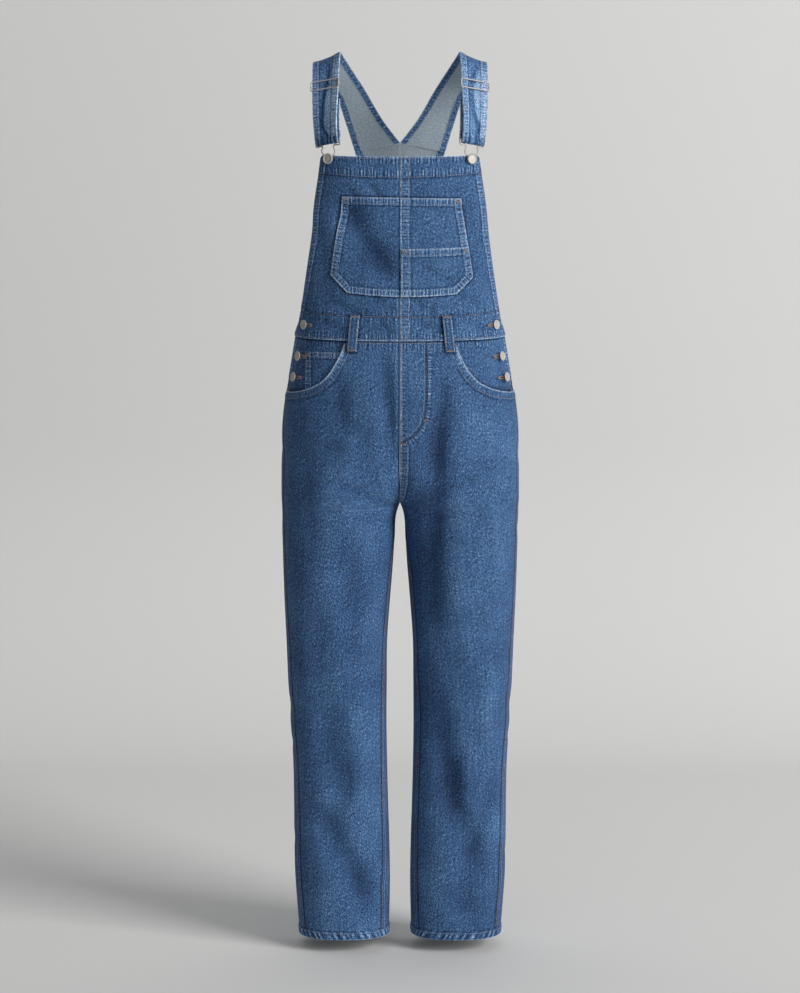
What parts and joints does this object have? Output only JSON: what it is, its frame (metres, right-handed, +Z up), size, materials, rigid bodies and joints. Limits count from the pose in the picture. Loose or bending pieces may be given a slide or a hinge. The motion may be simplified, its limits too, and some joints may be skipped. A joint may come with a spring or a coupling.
{
  "type": "denim dungarees",
  "caption": "Full-length straight-leg denim dungarees, filled out and hollow as worn, with bib pocket, hip pockets, side buttons and adjustable straps on wire hooks.",
  "frame": {"origin": "midway between the tops of the two shoulder straps, where the wearer's shoulders carry the garment", "axes": "+Z up along the garment, -Y towards the front (the bib side), +X towards the wearer's left"},
  "size_m": [0.3788, 0.2325, 1.4144],
  "materials": {
    "denim": "mid-blue washed right-hand twill, worn pale along seams and edges, matt",
    "denim_reverse": "grey-blue reverse of the same twill, where the undyed weft shows",
    "thread": "greyish tan topstitching thread",
    "bar_tack": "copper-brown thread of the bar tacks and buttonholes",
    "nickel": "satin nickel plate"
  },
  "bodies": {
    "root": {"bib_front_right": "denim", "bib_front_left": "denim", "bib_pocket": "denim", "bib_pocket_small": "denim", "back_bib_right": "denim", "back_bib_left": "denim", "leg_front_right": "denim", "leg_front_left": "denim", "leg_back_right": "denim", "leg_back_left": "denim", "hip_facing_right": "denim", "hip_facing_left": "denim", "coin_pocket": "denim", "belt_loop_right": "denim", "belt_loop_left": "denim", "strap_right": "denim", "strap_left": "denim", "hook_right": "nickel", "hook_left": "nickel", "slider_right": "nickel", "slider_left": "nickel", "bib_button_right": "nickel", "bib_button_left": "nickel", "side_button_waist_right": "nickel", "side_button_waist_left": "nickel", "side_button_upper_right": "nickel", "side_button_upper_left": "nickel", "side_button_lower_right": "nickel", "side_button_lower_left": "nickel"}
  },
  "joints": []
}
